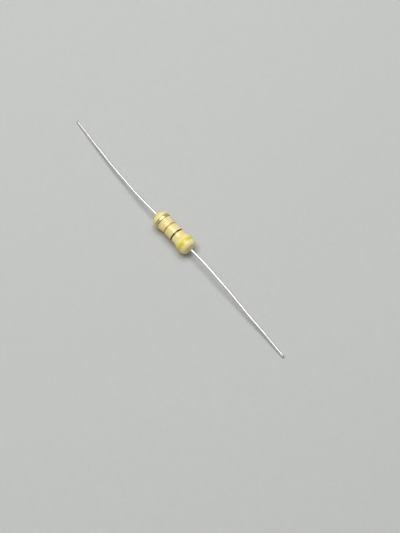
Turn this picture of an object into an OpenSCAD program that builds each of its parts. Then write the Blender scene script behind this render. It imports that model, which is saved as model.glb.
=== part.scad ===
// Four-band carbon-film axial resistor, lying on a table on its two end bands and the tips of its leads.
// Millimetres. The body runs along X with its first colour band towards +X, and Z = 0 is the table.

/* [Lacquer body] */
// Length of the lacquered body between its domed ends
body_len = 8.6; // [8.4:0.1:12]
// Diameter over the bulge beside the first band
first_bulge_d = 3.3; // [3.1:0.05:4]
// Diameter over the bulge beside the last band
last_bulge_d = 3.14; // [2.9:0.02:4]
// Diameter of the waist between the bulges
waist_d = 2.7; // [2.5:0.05:2.9]
// Distance from the domed end to the widest place of the first bulge
first_bulge_inset = 1.3; // [1.2:0.05:1.4]
// Distance from the domed end to the widest place of the last bulge
last_bulge_inset = 1.25; // [1.2:0.05:1.4]
// Length over which a bulge fades into the waist
bulge_fade = 1.6; // [1:0.1:2]
// Squareness of the first domed end: 2 is an ellipse, and more is blunter
first_dome_power = 3.2; // [2:0.1:4]
// Squareness of the last domed end
last_dome_power = 2.4; // [2:0.1:4]
// Length of the skirt of lacquer that climbs each wire
skirt_len = 0.35; // [0.2:0.05:1]
// Height of that skirt above the wire where it leaves the domed end
skirt_h = 0.24; // [0.05:0.01:0.4]

/* [Colour bands] */
// Distance from the domed end to the middle of the first band, which covers the first bulge
first_band_inset = 1.29; // [1.1:0.01:1.5]
// Distance from the first band's middle to the second's
second_band_step = 2.3; // [1.5:0.01:2.5]
// Distance from the second band's middle to the third's
third_band_step = 1.8; // [1:0.01:1.85]
// Distance from the domed end to the middle of the last band, which covers the last bulge
last_band_inset = 1.42; // [1.3:0.01:1.5]
// Width of the first band
first_band_w = 0.7; // [0.6:0.02:0.9]
// Width of the second and third bands
middle_band_w = 0.36; // [0.2:0.02:0.6]
// Width of the last band
last_band_w = 0.66; // [0.6:0.02:0.9]
// Thickness of the paint
paint_t = 0.03; // [0.01:0.01:0.08]

/* [Ceramic rod and carbon film] */
// Diameter of the ceramic rod
rod_d = 2.1; // [1.6:0.05:2.2]
// Chamfer on the rod's ends
rod_chamfer = 0.12; // [0.05:0.01:0.2]
// Thickness of the carbon film
film_t = 0.04; // [0.03:0.01:0.06]
// Number of turns of the trimming groove
groove_turns = 6; // [3:1:8]
// Width of the trimming groove
groove_w = 0.14; // [0.08:0.01:0.2]
// Plain film between the groove and each cap
groove_margin = 0.4; // [0.2:0.05:0.8]

/* [End caps] */
// Thickness of the pressed steel
cap_t = 0.18; // [0.12:0.01:0.2]
// Depth of the cup, inside
cap_depth = 1.6; // [1.2:0.1:2]
// Radius of the cup's outer corner
cap_round = 0.35; // [0.2:0.05:0.5]
// Thickness of lacquer over the base of each cap
end_coat = 0.55; // [0.45:0.05:0.8]

/* [Leads] */
// Diameter of the tinned wire
wire_d = 0.46; // [0.4:0.02:0.6]
// Length of the first wire outside the body
first_lead_len = 24.4; // [20:0.1:30]
// Length of the last wire outside the body
last_lead_len = 25.1; // [20:0.1:30]
// Chamfer that the cutter leaves on the wire's tip
tip_chamfer = 0.06; // [0.02:0.01:0.15]
// Diameter of the weld foot where the wire meets its cap
foot_d = 0.8; // [0.7:0.05:1]
// Height of the weld foot
foot_h = 0.25; // [0.1:0.05:0.35]
// Sideways kink of the first lead, in degrees
first_kink = 3; // [1:0.1:8]
// Sideways bend of the last lead near the body, in degrees
last_near_sweep = 3.9; // [1:0.1:6]
// Sideways bend of the last lead halfway along it, in degrees
last_far_sweep = 2.9; // [1:0.1:6]

/* [Hidden] */
$fn = 96;

// Stack at each end, from the middle outwards: the cup's mouth, the rod, the cup's base, the lacquer.
body_end = body_len / 2;
cap_end = body_end - end_coat;
rod_end = cap_end - cap_t;
cap_mouth = rod_end - cap_depth;
rod_r = rod_d / 2;
film_r = rod_r + film_t;
cap_r = film_r + cap_t;
wire_r = wire_d / 2;
foot_r = foot_d / 2;
foot_lip = 0.06;
skirt_r = wire_r + skirt_h;
skirt_lip = 0.02;

// Widest places of the bulges.
first_x = body_end - first_bulge_inset;
last_x = -body_end + last_bulge_inset;

// Middle of each band along the body, from the body's centre.
first_band_x = body_end - first_band_inset;
second_band_x = first_band_x - second_band_step;
third_band_x = second_band_x - third_band_step;
last_band_x = -body_end + last_band_inset;

// The body lies on the bands that cover its bulges. One bulge is thicker, so its axis leans.
first_rest_r = first_bulge_d / 2 + paint_t;
last_rest_r = last_bulge_d / 2 + paint_t;
tilt = asin((first_rest_r - last_rest_r) / (first_x - last_x));
lift = first_rest_r * cos(tilt) - first_x * sin(tilt);

// Bends of the wires. Their corners are measured from the body, before rounding.
DOWN = -90;
SIDEWAYS = 180;
kink_r = 20;
fall_r = 40;
sweep_r = 60;
first_corners = [3.6, 7.3];
last_corners = [1.5, 4.7, 13.5];
// A bend draws the wire down by this much, and laps this far into the straight wire at each end.
bend_neck = 0.004;
bend_lap = 0.05;

// Fall of the first lead: from its second corner it runs straight down to the table at its tip.
first_rise = sin(tilt) * cos(first_kink);
first_corner_z = lift + (body_end + first_corners[0]) * sin(tilt)
  + (first_corners[1] - first_corners[0]) * first_rise;
first_slope = (first_corner_z - wire_r) / (first_lead_len - first_corners[1]);
first_fall = asin(first_slope / norm([first_rise, cos(tilt)])) + atan2(first_rise, cos(tilt));

// Fall of the last lead: from its first corner it runs straight down to the table at its tip.
last_reach = last_corners[1] - last_corners[0]
  + (last_corners[2] - last_corners[1]) * cos(last_near_sweep)
  + (last_lead_len - last_corners[2]) * cos(last_near_sweep + last_far_sweep);
last_corner_z = lift - (body_end + last_corners[0]) * sin(tilt);
last_fall = asin((last_corner_z - wire_r) / last_reach) - tilt;

// Points on an arc about [x, r], from angle a to angle b.
function arc(x, r, radius, a, b, steps = 6) =
  [for (i = [0:steps]) let (t = a + (b - a) * i / steps) [x + radius * cos(t), r + radius * sin(t)]];

function reversed(list) = [for (i = [len(list) - 1:-1:0]) list[i]];

// The other end's points: the same outline turned end for end.
function mirrored(line) = [for (p = reversed(line)) [-p[0], p[1]]];

// One domed end from its bulge to the tip of its skirt, as [distance from the body's centre, radius].
function domed_end(bulge_x, bulge_r, power) = concat(
  [for (a = [0:7.5:90]) [
    bulge_x + (body_end - bulge_x) * pow(sin(a), 2 / power),
    skirt_r + (bulge_r - skirt_r) * pow(cos(a), 2 / power)
  ]],
  [for (u = [0.2:0.2:1]) [
    body_end + skirt_len * u,
    wire_r + skirt_lip + (skirt_h - skirt_lip) * pow(1 - u, 2)
  ]]
);

// How much of a bulge is left at this distance from its widest place.
function fade(distance) = distance < bulge_fade ? (1 + cos(180 * distance / bulge_fade)) / 2 : 0;

function middle_r(x) = waist_d / 2
  + (first_bulge_d - waist_d) / 2 * fade(first_x - x)
  + (last_bulge_d - waist_d) / 2 * fade(x - last_x);

// Outline of the lacquer from the last skirt's tip to the first skirt's tip.
middle_steps = 40;
middle_step = (first_x - last_x) / middle_steps;
coat_line = concat(
  mirrored(domed_end(-last_x, last_bulge_d / 2, last_dome_power)),
  [for (i = [1:middle_steps - 1]) let (x = last_x + i * middle_step) [x, middle_r(x)]],
  domed_end(first_x, first_bulge_d / 2, first_dome_power)
);

// Outside of one cap with its weld foot and wire: what the lacquer clings to at that end.
cap_line = concat(
  [[cap_mouth, cap_r]],
  arc(cap_end - cap_round, cap_r - cap_round, cap_round, 90, 0)
);
foot_line = [[cap_end, foot_r], [cap_end + foot_lip, foot_r], [cap_end + foot_h, wire_r]];
inner_line = concat([[cap_mouth, film_r]], cap_line, foot_line, [[body_end + skirt_len, wire_r]]);

// Lays a piece that is drawn along the X axis on the table.
module lie() {
  translate([0, 0, lift])
    rotate([0, -tilt, 0])
      children();
}

// Turns a flat outline of [x, radius] points about the X axis.
module turned(line) {
  rotate([90, 0, 90])
    rotate_extrude()
      polygon([for (p = line) [p[1], p[0]]]);
}

// The last end's pieces are the first end's, turned round.
module at_last_end() {
  rotate([0, 0, 180])
    children();
}

module ceramic_rod() {
  color("white")
    lie()
      turned([
        [-rod_end, 0], [-rod_end, rod_r - rod_chamfer], [-rod_end + rod_chamfer, rod_r],
        [rod_end - rod_chamfer, rod_r], [rod_end, rod_r - rod_chamfer], [rod_end, 0]
      ]);
}

// The film is one skin with a helical slot. Round the rod it has film_steps columns of points, and
// along the rod each column crosses the slot once a turn, which leaves a strip of film between turns.
film_steps = 36;
film_end = rod_end - rod_chamfer;
groove_start = -cap_mouth + groove_margin;
groove_pitch = (cap_mouth - groove_margin) * 2 / groove_turns;
film_edges = 2 * groove_turns + 2;
film_radii = [rod_r / cos(180 / film_steps), film_r];
slot_end = film_steps * film_edges;

// Place along X of one edge of a strip in one column. Even edges are a strip's left side.
function edge_x(column, edge) =
  edge == 0 ? -film_end :
  edge == film_edges - 1 ? film_end :
  groove_start + groove_pitch * (floor((edge - 1) / 2) + column / film_steps)
    + (edge % 2 == 0 ? groove_w : -groove_w) / 2;

// Number of a point. The column after the last is the first one again, one turn further on.
function film_point(column, edge, layer) =
  let (
    wraps = column == film_steps,
    at_slot_end = wraps && (edge == film_edges - 3 || edge == film_edges - 2),
    outer_edge = edge == 0 || edge == film_edges - 1,
    place = at_slot_end ? slot_end + edge - (film_edges - 3)
      : wraps ? (outer_edge ? edge : edge + 2)
      : column * film_edges + edge
  )
  2 * place + layer;

function film_at(x, angle) =
  [for (r = film_radii) [x, r * cos(angle), r * sin(angle)]];

// One strip's face between two columns. The strips that meet the slot's ends take its corners too.
function strip_face(column, strip, layer) =
  let (
    left = 2 * strip,
    right = left + 1,
    near_corners = column == 0 && strip == groove_turns
      ? [2 * slot_end + layer, 2 * slot_end + 2 + layer] : [],
    far_corners = column == film_steps - 1 && strip == 0
      ? [film_point(0, 2, layer), film_point(0, 1, layer)] : []
  )
  len(near_corners) > 0
    ? concat([
        film_point(column + 1, right, layer), film_point(column + 1, left, layer),
        film_point(column, left, layer)
      ], near_corners, [film_point(column, right, layer)])
    : concat([
        film_point(column, left, layer), film_point(column, right, layer),
        film_point(column + 1, right, layer)
      ], far_corners, [film_point(column + 1, left, layer)]);

// The same face seen from behind, with its first corner kept first.
function flipped(face) = concat([face[0]], [for (i = [len(face) - 1:-1:1]) face[i]]);

// The thin wall between two points on the outside of the film and the two beneath them.
function wall(a, b) = [[a, b, b - 1], [a, b - 1, a - 1]];

module carbon_film() {
  points = concat(
    [for (column = [0:film_steps - 1], edge = [0:film_edges - 1])
      each film_at(edge_x(column, edge), 360 * column / film_steps)],
    film_at(-groove_start - groove_w / 2, 0),
    film_at(-groove_start + groove_w / 2, 0)
  );
  skins = [for (column = [0:film_steps - 1], strip = [0:groove_turns])
    each [strip_face(column, strip, 1), flipped(strip_face(column, strip, 0))]];
  walls = [for (column = [0:film_steps - 1], edge = [0:film_edges - 1])
    let (a = film_point(column, edge, 1), b = film_point(column + 1, edge, 1))
    each (edge % 2 == 0 ? wall(a, b) : wall(b, a))];
  slot_ends = concat(
    wall(film_point(0, 1, 1), film_point(0, 2, 1)),
    wall(2 * slot_end + 3, 2 * slot_end + 1)
  );
  color("dimgray")
    lie()
      polyhedron(points, concat(skins, walls, slot_ends));
}

// A pressed steel cup over one end of the rod, with its base against the rod's end.
module cap() {
  turned(concat(
    [[cap_end, 0], [rod_end, 0], [rod_end, film_r], [cap_mouth, film_r]],
    cap_line
  ));
}

module first_cap() {
  color("silver")
    lie()
      cap();
}

module last_cap() {
  color("silver")
    lie()
      at_last_end()
        cap();
}

// Straight wire along X that starts at the origin.
module straight(run) {
  rotate([0, 90, 0])
    cylinder(h = run, r = wire_r);
}

// Wire that leaves the origin along X and turns towards +Y.
module bend(turn, radius) {
  lap = bend_lap / radius * 180 / PI;
  translate([0, radius, 0])
    rotate([0, 0, -90 - lap])
      rotate_extrude(angle = turn + 2 * lap)
        translate([radius, 0])
          circle(r = wire_r - bend_neck);
}

// How far short of its corner a bend starts.
function bend_cut(corner) = corner[3] * tan(corner[2] / 2);

// The wire past the body. Each corner is [distance from the body, side it turns to, turn, radius].
module wire(length, corners, i = 0, start = 0) {
  if (i < len(corners)) {
    corner = corners[i];
    cut = bend_cut(corner);
    run = corner[0] - cut - start;
    straight(run);
    translate([run, 0, 0])
      rotate([corner[1], 0, 0]) {
        bend(corner[2], corner[3]);
        translate([cut + cut * cos(corner[2]), cut * sin(corner[2]), 0])
          rotate([0, 0, corner[2]])
            rotate([-corner[1], 0, 0])
              wire(length, corners, i + 1, corner[0] + cut);
      }
  } else {
    tip = length - start;
    turned([[0, 0], [0, wire_r], [tip - tip_chamfer, wire_r], [tip, wire_r - tip_chamfer], [tip, 0]]);
  }
}

// A whole lead: the weld foot on the cap, the wire through the lacquer and the wire past it.
module lead(length, corners) {
  union() {
    turned(concat([[cap_end, 0]], foot_line, [[body_end, wire_r], [body_end, 0]]));
    translate([body_end, 0, 0])
      wire(length, corners);
  }
}

module first_lead() {
  color("gainsboro")
    lie()
      lead(first_lead_len, [
        [first_corners[0], SIDEWAYS, first_kink, kink_r],
        [first_corners[1], DOWN, first_fall, fall_r]
      ]);
}

module last_lead() {
  color("gainsboro")
    lie()
      at_last_end()
        lead(last_lead_len, [
          [last_corners[0], DOWN, last_fall, kink_r],
          [last_corners[1], SIDEWAYS, last_near_sweep, sweep_r],
          [last_corners[2], SIDEWAYS, last_far_sweep, sweep_r]
        ]);
}

module lacquer_coat() {
  color("khaki")
    lie()
      turned(concat(coat_line, reversed(concat(mirrored(inner_line), inner_line))));
}

// A painted ring that follows the lacquer's outline over its own width.
module band(middle, width) {
  left = middle - width / 2;
  right = middle + width / 2;
  under = concat(
    [[left, lookup(left, coat_line)]],
    [for (p = coat_line) if (p[0] > left + 0.001 && p[0] < right - 0.001) p],
    [[right, lookup(right, coat_line)]]
  );
  over = [for (p = reversed(under)) p + [0, paint_t]];
  lie()
    turned(concat(under, over));
}

module yellow_band() {
  color("gold")
    band(first_band_x, first_band_w);
}

module violet_band() {
  color("indigo")
    band(second_band_x, middle_band_w);
}

module orange_band() {
  color("chocolate")
    band(third_band_x, middle_band_w);
}

module gold_band() {
  color("darkgoldenrod")
    band(last_band_x, last_band_w);
}

ceramic_rod();
carbon_film();
first_cap();
last_cap();
first_lead();
last_lead();
lacquer_coat();
yellow_band();
violet_band();
orange_band();
gold_band();
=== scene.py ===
# %% [markdown]
# # A four-band carbon-film resistor
# The part is 58 mm long from tip to tip, and its body is 8.6 mm long and 3.3 mm thick. At this size a
# hair is as thick as a band's wavy edge, so what sells the part is small: lacquer that flowed before
# it set, paint with soft shoulders, and wire that fingers have bent a little.
# The measured model comes first. It is the frame that every piece is built on, and its box is kept.

# %% Load the measured model
import math

import bpy
import numpy as np
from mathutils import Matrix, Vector, noise


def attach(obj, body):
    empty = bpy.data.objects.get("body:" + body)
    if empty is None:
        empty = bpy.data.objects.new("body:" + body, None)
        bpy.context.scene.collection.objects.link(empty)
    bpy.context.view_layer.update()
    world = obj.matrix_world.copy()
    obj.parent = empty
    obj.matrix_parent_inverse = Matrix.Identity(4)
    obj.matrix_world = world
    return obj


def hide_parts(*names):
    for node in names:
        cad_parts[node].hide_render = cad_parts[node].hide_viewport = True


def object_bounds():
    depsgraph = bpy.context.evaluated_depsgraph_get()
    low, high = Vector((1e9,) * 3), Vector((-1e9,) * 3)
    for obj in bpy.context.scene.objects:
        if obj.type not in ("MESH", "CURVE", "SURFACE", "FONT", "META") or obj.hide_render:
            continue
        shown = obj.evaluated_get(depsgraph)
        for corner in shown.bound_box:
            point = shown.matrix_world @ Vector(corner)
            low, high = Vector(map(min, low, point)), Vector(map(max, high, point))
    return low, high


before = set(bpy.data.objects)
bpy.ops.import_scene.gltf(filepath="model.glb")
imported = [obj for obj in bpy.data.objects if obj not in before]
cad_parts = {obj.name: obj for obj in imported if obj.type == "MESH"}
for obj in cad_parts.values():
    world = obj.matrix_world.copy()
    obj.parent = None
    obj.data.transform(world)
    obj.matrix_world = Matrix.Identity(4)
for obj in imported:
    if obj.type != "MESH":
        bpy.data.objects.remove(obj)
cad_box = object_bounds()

MM = 0.001
print("measured model, mm:", [[round(c / MM, 2) for c in corner] for corner in cad_box])

# %% [markdown]
# ## Where the body lies
# The body rests on its two end bands, which differ in thickness, so its axis leans by about a degree.
# The ceramic rod in the middle is a plain turned rod: the middles of its two ends give the axis.
# One could type the lean in, but read from the rod it is right even after the rod has been changed.


# %% The body's own axes
def corners(name):
    """Each distinct corner of a measured piece, in millimetres."""
    found = np.array([v.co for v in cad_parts[name].data.vertices]) / MM
    return np.unique(found.round(3), axis=0)


def unit(vector):
    """The same direction with a length of one."""
    return vector / np.linalg.norm(vector)


rod = corners("ceramic_rod")
rod_ends = [rod[rod[:, 0] < 0].mean(0), rod[rod[:, 0] > 0].mean(0)]
middle = sum(rod_ends) / 2
along = unit(rod_ends[1] - rod_ends[0])
sideways = unit(np.cross([0, 0, 1], along))
axes = np.array([along, sideways, np.cross(along, sideways)])
lean = math.asin(along[2])
print(f"body middle {middle.round(3)} mm, lean {math.degrees(lean):.2f} degrees")


def to_body(points):
    """Row frame to body frame: along the body, to its side, and up from its axis."""
    return (np.asarray(points) - middle) @ axes.T


def from_body(points):
    return middle + np.asarray(points) @ axes


def to_radius(points):
    """Body frame to (distance along the body, distance from its axis)."""
    return np.column_stack([points[:, 0], np.hypot(points[:, 1], points[:, 2])])


# %% [markdown]
# ## Curves through measured points
# The measured pieces are made of short straight facets. A smooth curve through the same corners keeps
# every size and loses the facets. A spline object could do it, but a few lines of arithmetic give the
# points themselves, which the wires, the lacquer and the paint all need.


# %% A smooth line
def distances(line):
    """How far each point is down the line."""
    return np.r_[0, np.cumsum(np.linalg.norm(np.diff(line, axis=0), axis=1))]


def smooth_line(points, step):
    """The curve through these points, with a point about every step millimetres."""
    p = np.asarray(points, float)
    t = distances(p)
    slope = np.gradient(p, t, axis=0)
    s = np.linspace(0, t[-1], int(t[-1] / step) + 2)
    i = np.clip(np.searchsorted(t, s, side="right") - 1, 0, len(t) - 2)
    run = (t[i + 1] - t[i])[:, None]
    u = (s - t[i])[:, None] / run
    return (
        (2 * u**3 - 3 * u**2 + 1) * p[i]
        + (u**3 - 2 * u**2 + u) * run * slope[i]
        + (3 * u**2 - 2 * u**3) * p[i + 1]
        + (u**3 - u**2) * run * slope[i + 1]
    )


# %% [markdown]
# ## One way to make every skin
# The lacquer, the paint and the wires are all rings of points in a row, joined by four-sided faces.
# The lathe-like pieces close on themselves, first ring to last, and the wires end in a pole at each
# end. Building faces by hand keeps them all in rows, which shade smoothly and leave no stray faces.


# %% Rings to a mesh
SHARP = math.radians(50)


def ring_faces(here, there, size):
    """The faces between two rings. here and there are the numbers of their first corners."""
    return [(here + j, here + (j + 1) % size, there + (j + 1) % size, there + j) for j in range(size)]


def make_piece(name, rings, poles=None):
    """Joins rings of points, in millimetres, into one closed mesh that rides with the part."""
    count, size = rings.shape[:2]
    points = rings.reshape(-1, 3)
    joins = count if poles is None else count - 1
    faces = []
    for i in range(joins):
        faces += ring_faces(i * size, (i + 1) % count * size, size)
    if poles is not None:
        first, last, start = len(points), len(points) + 1, (count - 1) * size
        points = np.vstack([points, poles])
        for j in range(size):
            k = (j + 1) % size
            faces += [(first, k, j), (last, start + j, start + k)]
    mesh = bpy.data.meshes.new(name)
    mesh.from_pydata((points * MM).tolist(), [], faces)
    mesh.shade_smooth()
    mesh.set_sharp_from_angle(angle=SHARP)
    piece = bpy.data.objects.new(name, mesh)
    bpy.context.scene.collection.objects.link(piece)
    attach(piece, "root")
    print(f"{name}: {len(faces)} faces")
    return piece


def mark(piece, name, values):
    """Stores one number for each corner of a piece, for its finish to read."""
    attribute = piece.data.attributes.new(name, "FLOAT", "POINT")
    attribute.data.foreach_set("value", np.asarray(values, np.float32).ravel())


# %% [markdown]
# ## The lacquer's outline
# The body is a thick coat of epoxy lacquer over a ceramic rod with a steel cap on each end. The caps
# are wider than the rod, which is where the dog-bone shape comes from. The measured coat is turned
# about the body's axis, so the corners of its outward faces, seen as distance along and distance
# out, are its outline. Its other corners are what the lacquer clings to.


# %% Read the outline off the measured coat
# A face belongs to the outside where it points away from the axis by more than this.
OUTWARD = 0.02


def coat_corners():
    """The coat's corners as (distance along, distance out): those on its outside, then the others."""
    outer, inner = set(), set()
    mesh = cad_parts["lacquer_coat"].data
    spots = to_body(np.array([v.co for v in mesh.vertices]) / MM)
    flat = to_radius(spots).round(3)
    for face in mesh.polygons:
        facing = axes @ np.array(face.normal)
        centre = spots[list(face.vertices)].mean(0)
        outward = facing[1:] @ unit(centre[1:])
        (outer if outward > OUTWARD else inner).update(tuple(flat[v]) for v in face.vertices)
    return outer, inner - outer


def tidy(line, least=0.004):
    """The same line without corners that all but repeat the one before."""
    kept = [line[0]]
    for p in line[1:]:
        if math.dist(p, kept[-1]) > least:
            kept.append(p)
    return kept


def chained(spots, start):
    """Puts corners in order by always stepping to the nearest one left."""
    line, left = [start], set(spots) - {start}
    while left:
        line.append(min(left, key=lambda p: math.dist(p, line[-1])))
        left.remove(line[-1])
    return line


outer_spots, inner_spots = coat_corners()
OUTLINE_STEP = 0.045
outline = smooth_line(tidy(sorted(outer_spots)), OUTLINE_STEP)
lining = tidy(chained(inner_spots, max(inner_spots)))
reach, bulge = outline.max(axis=0)
print(f"coat outline: {len(outline)} points, {2 * reach:.2f} mm long, {2 * bulge:.2f} mm thick")

# %% [markdown]
# ## Lacquer that flowed
# The real body was dipped and spun while its lacquer set, so it is never quite round. Its surface
# goes in and out by a hundredth of a millimetre or so, over a millimetre or two. A bump in the
# material would not show at the outline, so the waves are in the mesh. They only go inwards, which
# keeps the part inside its measured size. The paint uses the same function and follows every wave.


# %% The lacquer's surface
DEEPEST_SAG = 0.022
ROUND = np.linspace(0, 2 * math.pi, 192, endpoint=False)
# The noise has about half a lump to a millimetre along the body. Round the body it is read on a
# circle of this radius, which meets seven lumps.
LUMPS_ALONG, LUMP_CIRCLE = 0.55, 1.1
RIPPLE_SCALE, RIPPLE_SHIFT = 2.6, Vector((7, 3, 1))
# How much the lumps and the finer ripples on them each change the depth.
LUMP_WEIGHT, RIPPLE_WEIGHT = 0.55, 0.18


def sag(x, angle):
    """How far the set lacquer lies inside its ideal outline here, in millimetres."""
    spot = Vector((x * LUMPS_ALONG, LUMP_CIRCLE * math.cos(angle), LUMP_CIRCLE * math.sin(angle)))
    ripple = noise.noise(spot * RIPPLE_SCALE + RIPPLE_SHIFT)
    return DEEPEST_SAG * min(1, max(0, 0.5 + LUMP_WEIGHT * noise.noise(spot) + RIPPLE_WEIGHT * ripple))


def ring_at(x, radii):
    """A ring of points about the body's axis. radii is one number, or one for each direction."""
    radii = np.broadcast_to(radii, ROUND.shape)
    return np.column_stack([np.full(len(ROUND), x), radii * np.cos(ROUND), radii * np.sin(ROUND)])


# The last half millimetre is skirt, and its edge draws back by up to about this much.
SKIRT, RAGGED = 0.5, 0.16
# The ragged edge is noise on a circle of this radius, and the two ends' circles are far apart.
RAG_CIRCLE, RAG_SHIFT = 1.3, 5
# There are no waves nearer to the axis than this, and they are full this much further out.
CALM, CALM_FADE = 0.3, 0.6


def lacquer_ring(x, radius):
    """One ring of the outside. Towards the wire the skirt thins and its edge turns ragged."""
    end = np.sign(x)
    sags = np.array([sag(x, a) for a in ROUND])
    fade = min(1, max(0, (radius - CALM) / CALM_FADE))
    ring = ring_at(x, radius - sags * fade)
    climb = max(0, (abs(x) - reach + SKIRT) / SKIRT)
    circle = [(math.cos(a) * RAG_CIRCLE, math.sin(a) * RAG_CIRCLE, RAG_SHIFT * end) for a in ROUND]
    rags = np.array([noise.noise(Vector(spot)) for spot in circle])
    ring[:, 0] -= end * RAGGED * climb**2 * (0.5 + rags)
    return ring


skin = [lacquer_ring(x, r) for x, r in outline] + [ring_at(x, r) for x, r in lining]
coat = make_piece("lacquer_skin", from_body(np.array(skin)))
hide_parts("lacquer_coat")

# %% [markdown]
# ## Painted bands
# Each band is a stripe of enamel that a wheel laid down while the body turned under it. Wet enamel
# pulls back from its edges, so a stripe is flat on top with round shoulders, and its edges wander by
# a few hundredths of a millimetre. A colour painted on the lacquer's own mesh would be simpler, but
# the raised edge catches the light on the real part, so each band is a ring of its own.


# %% Paint a band
# Places across a band, from -1 at one edge to 1 at the other, and the height of wet paint at each.
# A higher power makes the top flatter and the shoulders tighter.
ACROSS = np.sin(np.linspace(-math.pi / 2, math.pi / 2, 25))
SHOULDER_POWER = 7
SHOULDER = np.sqrt(np.clip(1 - np.abs(ACROSS) ** SHOULDER_POWER, 0, 1))
# The paint is sunk this far into the lacquer, so that no gap shows between them.
BITE = 0.004
# Each edge wanders by the noise on a circle of this radius, and the two circles are far apart.
EDGE_CIRCLE, FAR_EDGE = 2.2, Vector((0, 0, 40))
# The paint's thickness: its usual share of the measured one, and how far it strays from that.
BUILD, BUILD_STRAYS = 0.86, 0.14
BUILD_SCALE, BUILD_SHIFT = 1.7, Vector((9, 9, 9))


def outline_radius(x):
    return np.interp(x, outline[:, 0], outline[:, 1])


def paint_band(node, name, wander, seed):
    """A closed ring of paint over the measured band, a little wavy at both edges."""
    flat = to_radius(to_body(corners(node)))
    left, right = flat[:, 0].min(), flat[:, 0].max()
    thickness = (flat[:, 1] - outline_radius(flat[:, 0])).max()
    columns = []
    for a in ROUND:
        where = Vector((math.cos(a) * EDGE_CIRCLE, math.sin(a) * EDGE_CIRCLE, seed))
        start = left + wander * (0.5 + 0.5 * noise.noise(where))
        stop = right - wander * (0.5 + 0.5 * noise.noise(where + FAR_EDGE))
        xs = (start + stop) / 2 + ACROSS * (stop - start) / 2
        base = np.array([outline_radius(x) - sag(x, a) for x in xs])
        patch = noise.noise(where * BUILD_SCALE + BUILD_SHIFT)
        build = thickness * (BUILD + BUILD_STRAYS * patch)
        top, under = base + build * SHOULDER, base[::-1] - BITE
        columns.append(np.column_stack([np.r_[xs, xs[::-1]], np.r_[top, under]]))
    columns = np.array(columns)
    xs, radii = columns[:, :, 0].T, columns[:, :, 1].T
    rings = np.stack([xs, radii * np.cos(ROUND), radii * np.sin(ROUND)], axis=-1)
    band = make_piece(name, from_body(rings))
    mark(band, "rim", np.repeat(np.abs(np.r_[ACROSS, ACROSS]), len(ROUND)))
    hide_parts(node)
    return band


yellow = paint_band("yellow_band", "yellow_paint_ring", 0.05, 1)
violet = paint_band("violet_band", "violet_paint_ring", 0.05, 2)
orange = paint_band("orange_band", "orange_paint_ring", 0.05, 3)
gold = paint_band("gold_band", "gold_paint_ring", 0.06, 4)

# %% [markdown]
# ## The leads
# Each lead is stiff tinned wire, welded to its cap through a small foot and bent a little by hand.
# The measured wire is a chain of rings, and the middle of each ring is a point on the wire's own
# line. A curve object with a round bevel would follow that line too, but it can't have the weld foot
# at one end and the pinched, sheared tip at the other, so the wire is swept ring by ring.


# %% The line that a wire follows
# The measured rings are further apart than this, and a whole ring has at least so many corners.
RING_GAP, RING_CORNERS = 0.1, 36
# A long straight run gets a point this often, so that the curve through the points can't swing out.
KNOT_EVERY = 2.0


def wire_line(node, end):
    """Points down the middle of a lead, and the corners of its weld foot. end is 1 or -1."""
    spots = corners(node)
    spots = spots[np.argsort(spots[:, 0] * end)]
    gaps = np.where(np.diff(spots[:, 0] * end) > RING_GAP)[0] + 1
    rings = [ring for ring in np.split(spots, gaps) if len(ring) >= RING_CORNERS]
    foot = to_radius(to_body(rings[0]))
    cap_end = np.abs(foot[:, 0]).min()
    tip_ring = rings[-1]
    centres = [ring.mean(0) for ring in rings[1:-1]]
    out = unit(tip_ring.mean(0) - centres[-1])
    tip = centres[-1] + out * ((tip_ring - centres[-1]) @ out).max()
    line = np.array([from_body([end * cap_end, 0, 0]), *centres, tip])
    t = distances(line)
    knots = np.unique(np.r_[t, np.arange(1, t[-1], KNOT_EVERY)].round(2))
    return np.column_stack([np.interp(knots, t, line[:, k]) for k in range(3)]), foot


# %% [markdown]
# A wire that has been straightened by hand keeps a faint wave. It is strongest half way along, and
# it dies out at the body and at the tip, so both ends stay where they were measured.


# %% A hand-straightened wave
WAVE_LENGTH, WAVE_SIDEWAYS, WAVE_UP = 4.5, 0.05, 0.03
# The wave starts this far from the body. It takes so far to grow, and so far to die out at the tip.
WAVE_STARTS, WAVE_GROWS, WAVE_DIES = 3, 5, 6


def add_wave(line, seed):
    """Moves the points of a wire's line a little to the side and up, but not near its ends."""
    t = distances(line)
    swing = np.clip((t - WAVE_STARTS) / WAVE_GROWS, 0, 1) * np.clip((t[-1] - t) / WAVE_DIES, 0, 1)
    for k, size in ((1, WAVE_SIDEWAYS), (2, WAVE_UP)):
        wave = [noise.noise(Vector((s / WAVE_LENGTH, seed, 10 * k))) for s in t]
        line[:, k] += size * swing * np.array(wave)
    return t


# %% [markdown]
# The wire is thickest at its weld foot, which flares on to the cap. Its skin is uneven by a hundredth
# of its radius. The cutter pinched the last 0.4 mm to a wedge and left the very end blunt.

# %% Sweep a wire
WIRE_STEP = 0.07
TURNS = np.linspace(0, 2 * math.pi, 48, endpoint=False)
# How deep the dents are, as a share of the radius, how many there are to a millimetre along the
# wire, and the radius of the circle that they are read on round it.
UNEVEN, DENTS_ALONG, DENT_CIRCLE = 0.01, 0.35, 0.8
# How far from its end the wire is pinched, rounded off, and bare of tin.
PINCHED, BLUNTED, SHEARED = 0.4, 0.05, 0.12
# The pinch takes this share of the wire's height, and the very end keeps this share of its area.
PINCH_TAKES, END_KEEPS = 0.5, 0.12
# Both the foot's flare and the pinch begin gently and steepen by these powers.
FLARE_POWER, PINCH_POWER = 1.6, 1.5


def unevenness(s, angle, seed):
    round_it = math.cos(angle) * DENT_CIRCLE, math.sin(angle) * DENT_CIRCLE + seed
    spot = Vector((s * DENTS_ALONG, *round_it))
    return 1 - UNEVEN * (0.5 + 0.5 * noise.noise(spot))


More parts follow.
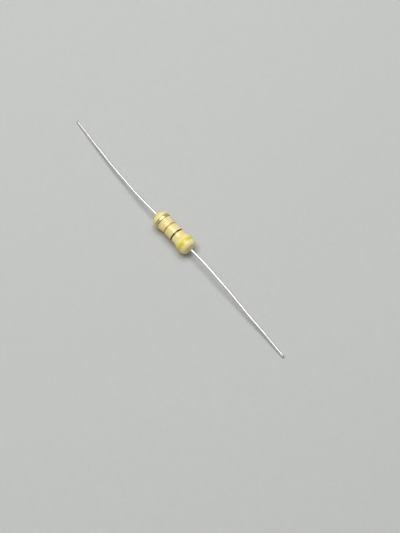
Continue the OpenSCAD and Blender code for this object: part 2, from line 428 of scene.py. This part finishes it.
def sweep_wire(node, name, end, seed):
    """A lead as one skin, from its weld foot to its sheared tip."""
    line, foot = wire_line(node, end)
    line = smooth_line(line, WIRE_STEP)
    t = add_wave(line, seed)
    tangent = np.gradient(line, t, axis=0)
    tangent /= np.linalg.norm(tangent, axis=1)[:, None]
    side = np.cross([0, 0, 1], tangent)
    side /= np.linalg.norm(side, axis=1)[:, None]
    up = np.cross(tangent, side)

    foot_r, wire_r = foot[:, 1].max(), foot[:, 1].min()
    foot_height = np.ptp(np.abs(foot[:, 0]).round(2))
    flare = np.clip(1 - t / foot_height, 0, 1)
    radius = wire_r + (foot_r - wire_r) * flare**FLARE_POWER
    from_tip = t[-1] - t
    pinch = np.clip(1 - from_tip / PINCHED, 0, 1) ** PINCH_POWER
    blunt = np.sqrt(np.clip(from_tip / BLUNTED, END_KEEPS, 1))
    rough = np.array([[unevenness(s, a, seed) for a in TURNS] for s in t])
    wide = (radius * blunt)[:, None] * rough * np.cos(TURNS)
    tall = (radius * blunt * (1 - PINCH_TAKES * pinch))[:, None] * rough * np.sin(TURNS)
    rings = line[:, None, :] + wide[..., None] * side[:, None, :] + tall[..., None] * up[:, None, :]
    wire = make_piece(name, rings, poles=[line[0], line[-1]])
    cut = np.clip(1 - from_tip / SHEARED, 0, 1)
    mark(wire, "down_the_wire", np.r_[np.repeat(t, len(TURNS)), t[0], t[-1]])
    mark(wire, "round_side", np.r_[np.tile(np.cos(TURNS), len(t)), 0, 0])
    mark(wire, "round_up", np.r_[np.tile(np.sin(TURNS), len(t)), 0, 0])
    mark(wire, "cut", np.r_[np.repeat(cut, len(TURNS)), 0, 1])
    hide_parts(node)
    print(f"{name}: {t[-1]:.2f} mm of {2 * wire_r:.2f} mm wire, foot {2 * foot_r:.2f} mm")
    return wire


first_wire = sweep_wire("first_lead", "first_wire", 1, 3)
last_wire = sweep_wire("last_lead", "last_wire", -1, 8)

# %% [markdown]
# ## Tools for finishes
# A finish is a material with nodes. Colours are written as they look on a screen, and one function
# turns them into the linear light that the renderer counts in. One function adds a node. Patterns
# are measured in millimetres along the body: a mapping node undoes the body's place and lean and
# divides by a millimetre, so a noise of scale 2 has two lumps to the millimetre.


# %% Colour and nodes
def colour(text):
    """An sRGB hex colour as linear light."""
    parts = [int(text[i : i + 2], 16) / 255 for i in (0, 2, 4)]
    return (*[c / 12.92 if c <= 0.04045 else ((c + 0.055) / 1.055) ** 2.4 for c in parts], 1)


def add(tree, kind, settings, feeds):
    """Adds one node, with its settings, and feeds its sockets with values or other sockets."""
    made = tree.nodes.new(kind)
    for name, value in settings.items():
        setattr(made, name, value)
    for name, value in feeds.items():
        if isinstance(value, bpy.types.NodeSocket):
            tree.links.new(value, made.inputs[name])
        else:
            made.inputs[name].default_value = value
    return made


def new_finish(name):
    """An empty material, its node tree and its place in the body, in millimetres."""
    material = bpy.data.materials.new(name)
    material.use_nodes = True
    tree = material.node_tree
    tree.nodes.clear()
    spot = add(tree, "ShaderNodeTexCoord", {}, {}).outputs["Object"]
    place = {"Location": middle * MM, "Rotation": (0, -lean, 0), "Scale": (MM, MM, MM)}
    mm = add(tree, "ShaderNodeMapping", {"vector_type": "TEXTURE"}, {"Vector": spot, **place})
    return material, tree, mm.outputs[0]


def close_finish(tree, feeds):
    """Ends a finish with its shader."""
    shader = add(tree, "ShaderNodeBsdfPrincipled", {}, feeds)
    add(tree, "ShaderNodeOutputMaterial", {}, {"Surface": shader.outputs[0]})


def give(piece, material):
    piece.data.materials.clear()
    piece.data.materials.append(material)
    print(f"{piece.name}: {material.name}")


# %% [markdown]
# ## Dipped epoxy lacquer
# The coat is cream epoxy, dipped and baked. It is smooth and quite glossy, with a faint orange peel,
# soft clouds where it is thicker, and a few specks of pigment. Where it climbs the wires it is thin,
# and grey metal shows through. Epoxy has an IOR of about 1.55.


# %% Epoxy lacquer
lacquer, tree, mm = new_finish("dipped epoxy lacquer")
cloud = add(tree, "ShaderNodeTexNoise", {}, {"Vector": mm, "Scale": 0.8, "Detail": 3})
tone = add(tree, "ShaderNodeMapRange", {}, {"Value": cloud.outputs[0], "From Min": 0.35, "From Max": 0.65})
cream = add(tree, "ShaderNodeMix", {"data_type": "RGBA"},
            {0: tone.outputs[0], 6: colour("EEDA8B"), 7: colour("F5E59D")})
grit = add(tree, "ShaderNodeTexNoise", {}, {"Vector": mm, "Scale": 9, "Detail": 2})
speck = add(tree, "ShaderNodeMapRange", {},
            {"Value": grit.outputs[0], "From Min": 0.66, "From Max": 0.74, "To Max": 0.4})
dotted = add(tree, "ShaderNodeMix", {"data_type": "RGBA"},
             {0: speck.outputs[0], 6: cream.outputs[2], 7: colour("B99B57")})
split = add(tree, "ShaderNodeSeparateXYZ", {}, {"Vector": mm})
distance = add(tree, "ShaderNodeMath", {"operation": "ABSOLUTE"}, {0: split.outputs[0]})
thin = add(tree, "ShaderNodeMapRange", {},
           {"Value": distance.outputs[0], "From Min": reach - SKIRT, "From Max": reach, "To Max": 0.75})
thinned = add(tree, "ShaderNodeMix", {"data_type": "RGBA"},
              {0: thin.outputs[0], 6: dotted.outputs[2], 7: colour("B5AF95")})
# Orange peel on so small a part is about 0.2 mm from dimple to dimple.
peel = add(tree, "ShaderNodeTexNoise", {}, {"Vector": mm, "Scale": 4.5, "Detail": 2})
dimples = add(tree, "ShaderNodeBump", {},
              {"Height": peel.outputs[0], "Distance": 0.012 * MM, "Strength": 0.5})
gloss = add(tree, "ShaderNodeMapRange", {},
            {"Value": cloud.outputs[0], "From Min": 0.3, "From Max": 0.7, "To Min": 0.25, "To Max": 0.36})
close_finish(tree, {"Base Color": thinned.outputs[2], "Roughness": gloss.outputs[0], "IOR": 1.55,
                    "Normal": dimples.outputs[0]})
give(coat, lacquer)

# %% [markdown]
# ## Enamel bands
# The three code colours are opaque enamel. The wheel leaves fine streaks that run round the body, and
# at the rim the paint is thin enough for the cream below to warm it. The three differ only in colour,
# so one function makes them.


# %% Wheel-laid enamel
def enamel(name, thick, streaked, rim_colour, roughness):
    """Opaque enamel with streaks round the body and a thin rim."""
    material, tree, mm = new_finish(name)
    # Streaks are 0.06 mm apart across the band and run on for millimetres round it.
    drawn = add(tree, "ShaderNodeMapping", {}, {"Vector": mm, "Scale": (8, 0.5, 0.5)})
    wheel = add(tree, "ShaderNodeTexNoise", {}, {"Vector": drawn.outputs[0], "Scale": 2, "Detail": 2})
    streak = add(tree, "ShaderNodeMapRange", {},
                 {"Value": wheel.outputs[0], "From Min": 0.35, "From Max": 0.7})
    body = add(tree, "ShaderNodeMix", {"data_type": "RGBA"},
               {0: streak.outputs[0], 6: colour(thick), 7: colour(streaked)})
    rim = add(tree, "ShaderNodeAttribute", {"attribute_name": "rim"}, {})
    fray = add(tree, "ShaderNodeTexNoise", {}, {"Vector": mm, "Scale": 7, "Detail": 3})
    worn = add(tree, "ShaderNodeMath", {"operation": "MULTIPLY_ADD"},
               {0: fray.outputs[0], 1: 0.5, 2: rim.outputs["Fac"]})
    edge = add(tree, "ShaderNodeMapRange", {},
               {"Value": worn.outputs[0], "From Min": 1.1, "From Max": 1.3, "To Max": 0.7})
    painted = add(tree, "ShaderNodeMix", {"data_type": "RGBA"},
                  {0: edge.outputs[0], 6: body.outputs[2], 7: colour(rim_colour)})
    ridges = add(tree, "ShaderNodeBump", {},
                 {"Height": wheel.outputs[0], "Distance": 0.006 * MM, "Strength": 0.5})
    sheen = add(tree, "ShaderNodeMapRange", {},
                {"Value": fray.outputs[0], "From Min": 0.3, "From Max": 0.7,
                 "To Min": roughness - 0.05, "To Max": roughness + 0.07})
    close_finish(tree, {"Base Color": painted.outputs[2], "Roughness": sheen.outputs[0], "IOR": 1.5,
                        "Normal": ridges.outputs[0]})
    return material


give(yellow, enamel("yellow enamel", "D6CB22", "DFD443", "E6D68A", 0.3))
# The violet is the paint's own dark colour, set a little darker than the real paint as painted reflection
# of dark surroundings in its gloss.
give(violet, enamel("violet enamel", "2B1014", "381A20", "83664A", 0.16))
give(orange, enamel("orange enamel", "CD7F2C", "D79143", "E2BC7E", 0.24))

# %% [markdown]
# ## Gold paint
# The tolerance band is clear varnish full of bronze flakes. Each flake is a tiny mirror at its own
# angle, so the band sparkles where it is lit. The two dark olive rims are painted reflection: darker
# than the paint itself, they stand for the dark surroundings that the curved band mirrors on each side
# of its bright middle. Flakes are about 0.03 mm across; they are drawn at 0.08 mm so that they show.


# %% Bronze-flake paint
bronze, tree, mm = new_finish("bronze flake paint")
flakes = add(tree, "ShaderNodeTexVoronoi", {}, {"Vector": mm, "Scale": 12})
hue = add(tree, "ShaderNodeSeparateColor", {}, {"Color": flakes.outputs["Color"]})
metal = add(tree, "ShaderNodeMix", {"data_type": "RGBA"},
            {0: hue.outputs[0], 6: colour("C2B46C"), 7: colour("E8DDA2")})
rim = add(tree, "ShaderNodeAttribute", {"attribute_name": "rim"}, {})
edge = add(tree, "ShaderNodeMapRange", {},
           {"Value": rim.outputs["Fac"], "From Min": 0.55, "From Max": 0.9})
# The rims are painted dark olive: a painted reflection of dark surroundings, not the paint's own colour.
painted_dark_rims = add(tree, "ShaderNodeMix", {"data_type": "RGBA"},
             {0: edge.outputs[0], 6: metal.outputs[2], 7: colour("3C350E")})
tilted = add(tree, "ShaderNodeBump", {},
             {"Height": hue.outputs[1], "Distance": 0.01 * MM, "Strength": 0.6})
scatter = add(tree, "ShaderNodeMapRange", {}, {"Value": hue.outputs[2], "To Min": 0.34, "To Max": 0.5})
close_finish(tree, {"Base Color": painted_dark_rims.outputs[2], "Metallic": 0.75, "Roughness": scatter.outputs[0],
                    "Normal": tilted.outputs[0], "Coat Weight": 0.4, "Coat Roughness": 0.15})
give(gold, bronze)

# %% [markdown]
# ## Tinned wire
# The leads are copper-plated steel with a skin of tin. Drawing through a die leaves fine lines along
# the wire, handling leaves duller patches, and the sheared tip shows darker, rougher metal. Tin is a
# bright, faintly warm white metal.


# %% Tinned wire
tinned, tree, mm = new_finish("tinned wire")
parts = [add(tree, "ShaderNodeAttribute", {"attribute_name": name}, {}).outputs["Fac"]
         for name in ("down_the_wire", "round_side", "round_up", "cut")]
spot = add(tree, "ShaderNodeCombineXYZ", {}, {0: parts[0], 1: parts[1], 2: parts[2]})
# Draw lines are closer than 0.01 mm on real wire. These are 0.04 mm apart, so that they show.
drawn = add(tree, "ShaderNodeMapping", {}, {"Vector": spot.outputs[0], "Scale": (0.06, 4, 4)})
lines = add(tree, "ShaderNodeTexNoise", {}, {"Vector": drawn.outputs[0], "Scale": 1.5, "Detail": 3})
patch = add(tree, "ShaderNodeTexNoise", {}, {"Vector": spot.outputs[0], "Scale": 0.9, "Detail": 3})
handled = add(tree, "ShaderNodeMapRange", {},
              {"Value": patch.outputs[0], "From Min": 0.4, "From Max": 0.65})
tin = add(tree, "ShaderNodeMix", {"data_type": "RGBA"},
          {0: handled.outputs[0], 6: colour("F1F0EC"), 7: colour("E0DFDA")})
sheared = add(tree, "ShaderNodeMix", {"data_type": "RGBA"},
              {0: parts[3], 6: tin.outputs[2], 7: colour("ACA9A3")})
dull = add(tree, "ShaderNodeMapRange", {},
           {"Value": patch.outputs[0], "From Min": 0.35, "From Max": 0.7, "To Min": 0.42, "To Max": 0.5})
grooves = add(tree, "ShaderNodeBump", {},
              {"Height": lines.outputs[0], "Distance": 0.001 * MM, "Strength": 0.4})
close_finish(tree, {"Base Color": sheared.outputs[2], "Metallic": 1, "Roughness": dull.outputs[0],
                    "Normal": grooves.outputs[0]})
give(first_wire, tinned)
give(last_wire, tinned)

# %% [markdown]
# ## What is inside
# The lacquer hides the ceramic rod, the carbon film with its spiral groove, and the two pressed caps.
# Their measured shapes are already right, so they stay as they are and only get their finishes, for
# anyone who takes the part apart or cuts it open.


# %% Fired alumina
alumina, tree, mm = new_finish("fired alumina")
grain = add(tree, "ShaderNodeTexNoise", {}, {"Vector": mm, "Scale": 14, "Detail": 4})
white = add(tree, "ShaderNodeMix", {"data_type": "RGBA"},
            {0: grain.outputs[0], 6: colour("E4E1D8"), 7: colour("F3F1EA")})
pores = add(tree, "ShaderNodeBump", {},
            {"Height": grain.outputs[0], "Distance": 0.01 * MM, "Strength": 0.6})
chalky = add(tree, "ShaderNodeMapRange", {}, {"Value": grain.outputs[0], "To Min": 0.55, "To Max": 0.8})
close_finish(tree, {"Base Color": white.outputs[2], "Roughness": chalky.outputs[0], "IOR": 1.76,
                    "Normal": pores.outputs[0]})
give(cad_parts["ceramic_rod"], alumina)

# %% [markdown]
# Carbon film is cracked from gas in a furnace. It is a dark grey skin with a slight metallic sheen,
# and the cutting wheel leaves burnished marks round the rod.

# %% Furnace carbon
carbon, tree, mm = new_finish("furnace carbon film")
wheel_marks = add(tree, "ShaderNodeMapping", {}, {"Vector": mm, "Scale": (10, 0.4, 0.4)})
soot = add(tree, "ShaderNodeTexNoise", {}, {"Vector": wheel_marks.outputs[0], "Scale": 2, "Detail": 3})
black = add(tree, "ShaderNodeMix", {"data_type": "RGBA"},
            {0: soot.outputs[0], 6: colour("1B1C1E"), 7: colour("3A3B3D")})
burnish = add(tree, "ShaderNodeMapRange", {}, {"Value": soot.outputs[0], "To Min": 0.3, "To Max": 0.55})
marks = add(tree, "ShaderNodeBump", {},
            {"Height": soot.outputs[0], "Distance": 0.004 * MM, "Strength": 0.5})
close_finish(tree, {"Base Color": black.outputs[2], "Metallic": 0.35, "Roughness": burnish.outputs[0],
                    "Normal": marks.outputs[0]})
give(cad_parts["carbon_film"], carbon)

# %% [markdown]
# The caps are pressed from thin steel and tin plated. Pressing draws the metal along the cup's wall,
# so its faint lines run the way the body does.

# %% Tin-plated steel
plated, tree, mm = new_finish("tin-plated steel")
drawn = add(tree, "ShaderNodeMapping", {}, {"Vector": mm, "Scale": (0.4, 6, 6)})
press = add(tree, "ShaderNodeTexNoise", {}, {"Vector": drawn.outputs[0], "Scale": 2, "Detail": 3})
steel = add(tree, "ShaderNodeMix", {"data_type": "RGBA"},
            {0: press.outputs[0], 6: colour("B4B2AB"), 7: colour("D3D1CB")})
wall = add(tree, "ShaderNodeMapRange", {}, {"Value": press.outputs[0], "To Min": 0.25, "To Max": 0.45})
lines = add(tree, "ShaderNodeBump", {},
            {"Height": press.outputs[0], "Distance": 0.005 * MM, "Strength": 0.5})
close_finish(tree, {"Base Color": steel.outputs[2], "Metallic": 1, "Roughness": wall.outputs[0],
                    "Normal": lines.outputs[0]})
give(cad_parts["first_cap"], plated)
give(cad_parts["last_cap"], plated)

# %% [markdown]
# ## Camera
# The part is seen from steeply above, corner on, so that the body runs away from the eye. The lens
# is a normal one, close in. The aim is a little past the body, which puts the body up and to the
# left of the middle with room for both wires.

# %% The camera
DISTANCE = 139 * MM
PAST_THE_BODY = Vector((4.53 * MM, -5.95 * MM, 0))
turn, height = math.radians(47.7), math.radians(69.5)
back = Vector((math.sin(turn) * math.cos(height), -math.cos(turn) * math.cos(height), math.sin(height)))
facing = (-back).to_track_quat("-Z", "Y")
aim = Vector(middle * MM) + facing @ PAST_THE_BODY
camera = bpy.data.objects.new("camera", bpy.data.cameras.new("camera"))
camera.rotation_mode = "QUATERNION"
camera.rotation_quaternion = facing
camera.location = aim + back * DISTANCE
camera.data.lens, camera.data.sensor_width, camera.data.clip_start = 54, 36, 0.01
bpy.context.scene.collection.objects.link(camera)
bpy.context.scene.camera = camera
print("camera at, mm:", [round(c / MM, 1) for c in camera.location])

# %% [markdown]
# ## Floor and light
# A pale, matt board keeps attention on the part and shows its soft shadow. It is flat under the part
# and curves up far from it into a low wall, so that no horizon shows from low down. A flat sheet
# would be less to make, but its edge would cut across the low views.

# %% Pale board
board, tree, mm = new_finish("pale matt board")
fibre = add(tree, "ShaderNodeTexNoise", {}, {"Vector": mm, "Scale": 1.2, "Detail": 4})
pulp = add(tree, "ShaderNodeMix", {"data_type": "RGBA"},
           {0: fibre.outputs[0], 6: colour("BABBB9"), 7: colour("C0C1BE")})
close_finish(tree, {"Base Color": pulp.outputs[2], "Roughness": 0.8})

# %% A board with a raised edge
# In metres: the radius of the flat middle, the radius of the curve, and the height of the wall.
FLAT, CURVE, WALL = 0.30, 0.25, 0.50
SIDES = 96
BELOW_THE_PART = 0.002 * MM
climb = np.linspace(0, math.pi / 2, 13)
rise = np.column_stack([FLAT + CURVE * np.sin(climb), CURVE * (1 - np.cos(climb))])
rise = np.vstack([rise, [FLAT + CURVE, WALL]])
circle = np.linspace(0, 2 * math.pi, SIDES, endpoint=False)
dish = [(r * math.cos(a), r * math.sin(a), z) for r, z in rise for a in circle]
faces = [tuple(range(SIDES))]
for i in range(0, len(dish) - SIDES, SIDES):
    faces += ring_faces(i + SIDES, i, SIDES)
sheet = bpy.data.meshes.new("floor")
sheet.from_pydata(dish, [], faces)
sheet.shade_smooth()
floor = bpy.data.objects.new("floor", sheet)
floor.location.z = cad_box[0][2] - BELOW_THE_PART
bpy.context.scene.collection.objects.link(floor)
give(floor, board)

# %% [markdown]
# Three soft panels light the part. The window is long, because a straight bright wire only shines
# where it mirrors a light, and it has to shine from end to end. The lamp is small and puts the bright
# spot on the glossy violet paint. The ceiling and the dim room keep the shaded side's colour.


# %% Soft panels
def panel(name, place, sides, watts):
    """A lamp of this size, in metres, that faces the part."""
    light = bpy.data.lights.new(name, "AREA")
    light.shape, light.energy = "RECTANGLE", watts
    light.size, light.size_y = sides
    made = bpy.data.objects.new(name, light)
    made.location = place
    made.rotation_mode = "QUATERNION"
    made.rotation_quaternion = (-Vector(place)).to_track_quat("-Z", "Y")
    bpy.context.scene.collection.objects.link(made)
    print(f"{name}: {watts} W")


panel("window", (-0.12, 0.08, 0.46), (0.42, 0.24), 1.72)
panel("lamp", (-0.13, -0.11, 0.43), (0.08, 0.08), 0.25)
panel("ceiling", (0, 0, 0.60), (0.70, 0.70), 0.48)
world = bpy.data.worlds.new("soft room")
world.use_nodes = True
world.node_tree.nodes["Background"].inputs["Color"].default_value = (0.9, 0.93, 1, 1)
world.node_tree.nodes["Background"].inputs["Strength"].default_value = 0.25
bpy.context.scene.world = world
# Plain colour keeps the paints as strong as they are; a film-like one would wash them out.
bpy.context.scene.view_settings.view_transform = "Standard"
